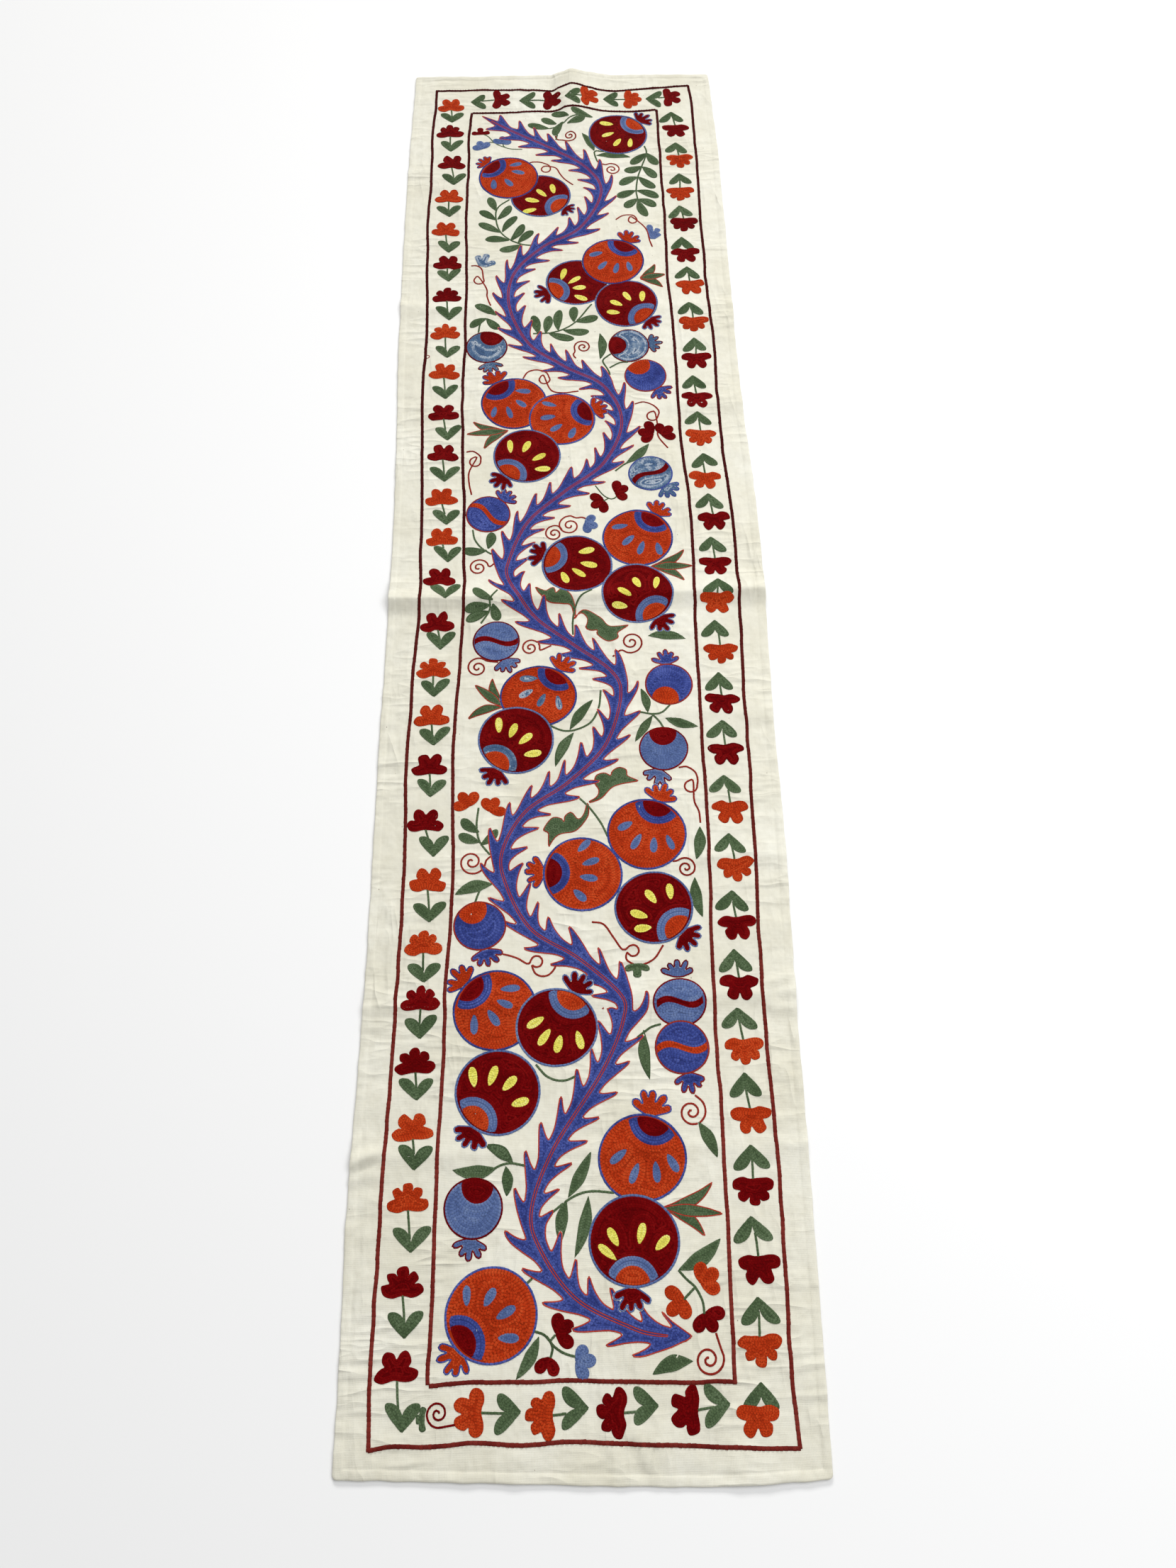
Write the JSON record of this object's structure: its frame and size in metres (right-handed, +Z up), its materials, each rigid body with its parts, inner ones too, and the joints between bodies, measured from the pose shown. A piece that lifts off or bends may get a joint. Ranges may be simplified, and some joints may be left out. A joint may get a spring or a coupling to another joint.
{
  "type": "suzani embroidered textile",
  "caption": "Long cotton runner lying flat, embroidered in chain stitch with a winding toothed vine, pomegranates, sprigs and a flower border between stitched lines.",
  "frame": {"origin": "middle of the runner's outline, on the surface it lies on", "axes": "+Y along the length to the far end with the buckle, +X across the width, +Z up off the embroidered face"},
  "size_m": [0.518, 2.1006, 0.0135],
  "materials": {
    "cotton_ground": "matt cream handwoven cotton with slubs and fine dark flecks",
    "thread_dark_red": "softly lustrous dark red chain stitch",
    "thread_orange": "softly lustrous orange chain stitch",
    "thread_vine_red": "softly lustrous brick red chain stitch",
    "thread_blue": "softly lustrous mid blue chain stitch",
    "thread_light_blue": "softly lustrous light blue chain stitch",
    "thread_green": "softly lustrous dull green chain stitch",
    "thread_yellow": "softly lustrous pale yellow chain stitch",
    "thread_border": "softly lustrous maroon chain stitch line"
  },
  "bodies": {
    "root": {"cloth": "cotton_ground"}
  },
  "joints": []
}
